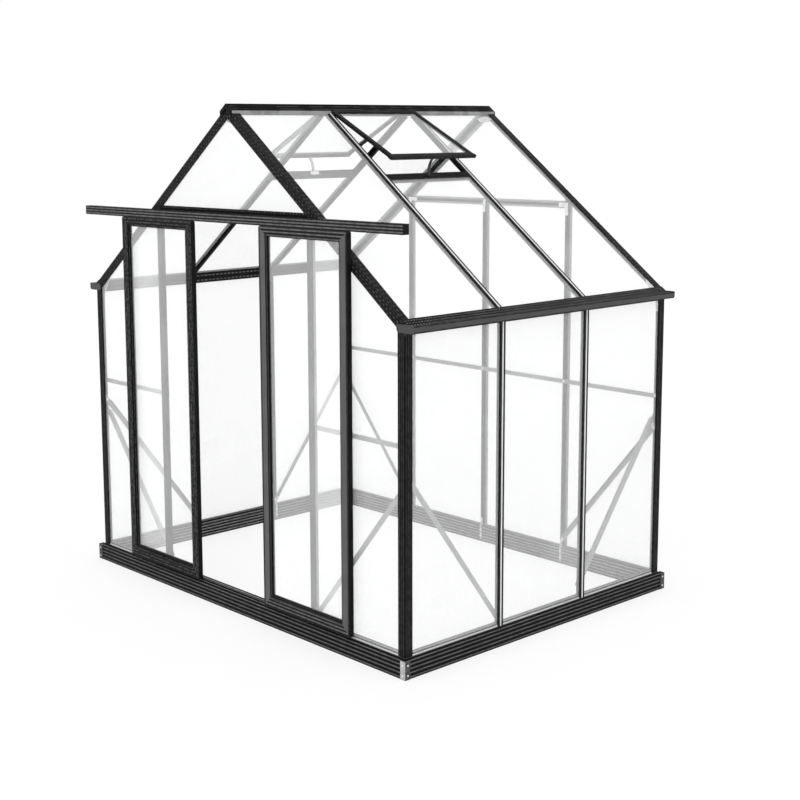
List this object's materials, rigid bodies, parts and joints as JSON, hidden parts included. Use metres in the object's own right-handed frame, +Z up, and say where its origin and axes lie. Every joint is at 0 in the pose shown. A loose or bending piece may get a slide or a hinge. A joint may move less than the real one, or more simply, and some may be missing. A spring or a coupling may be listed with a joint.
{
  "type": "polycarbonate greenhouse",
  "caption": "Small gabled greenhouse with a black metal frame, clear plastic panels, a ribbed base, sliding front doors and a propped vent in each roof slope.",
  "frame": {"origin": "on the ground under the middle of the building", "axes": "+X across the gable to the right as seen from the doors, the doors face -Y, +Z up"},
  "size_m": [2.632, 1.9645, 2.6019],
  "materials": {
    "black_frame": "black powder coat, satin",
    "aluminium": "bare, satin",
    "clear_panel": "clear polycarbonate sheet",
    "pale_strip": "pale satin edge on black bars"
  },
  "bodies": {
    "building": {"base_front": "black_frame", "base_rear": "black_frame", "base_left": "black_frame", "base_right": "black_frame", "base_corner_brackets": "aluminium", "corner_posts": "black_frame", "left_wall_posts": "black_frame", "right_wall_posts": "black_frame", "door_jambs": "black_frame", "rear_studs": "black_frame", "front_tie_rail": "black_frame", "rear_tie_rail": "black_frame", "front_middle_rails": "black_frame", "rear_middle_rail": "black_frame", "left_eave_gutter": "black_frame", "right_eave_gutter": "black_frame", "eave_cappings": "black_frame", "ridge_bar": "black_frame", "front_gable_rafters": "black_frame", "rear_gable_rafters": "black_frame", "left_roof_rafters": "black_frame", "right_roof_rafters": "black_frame", "bar_cap_strips": "pale_strip", "wall_braces": "black_frame", "gable_plates": "aluminium", "front_panels": "clear_panel", "rear_panels": "clear_panel", "left_wall_panels": "clear_panel", "right_wall_panels": "clear_panel", "left_roof_panels": "clear_panel", "right_roof_panels": "clear_panel", "vent_sills": "black_frame", "vent_side_bars": "black_frame", "vent_end_bars": "black_frame", "vent_panels": "clear_panel", "vent_stays": "aluminium", "door_track": "black_frame"},
    "left_door": {"left_door_stiles": "black_frame", "left_door_rails": "black_frame", "left_door_panel": "clear_panel", "left_door_hangers": "aluminium"},
    "right_door": {"right_door_stiles": "black_frame", "right_door_rails": "black_frame", "right_door_panel": "clear_panel", "right_door_hangers": "aluminium"}
  },
  "joints": [
    {"name": "left_door_slide", "type": "slide", "parent": "building", "child": "left_door", "axis": [-1, 0, 0], "range_m": [-0.277, 0.328]},
    {"name": "right_door_slide", "type": "slide", "parent": "building", "child": "right_door", "axis": [1, 0, 0], "range_m": [-0.277, 0.328]}
  ]
}
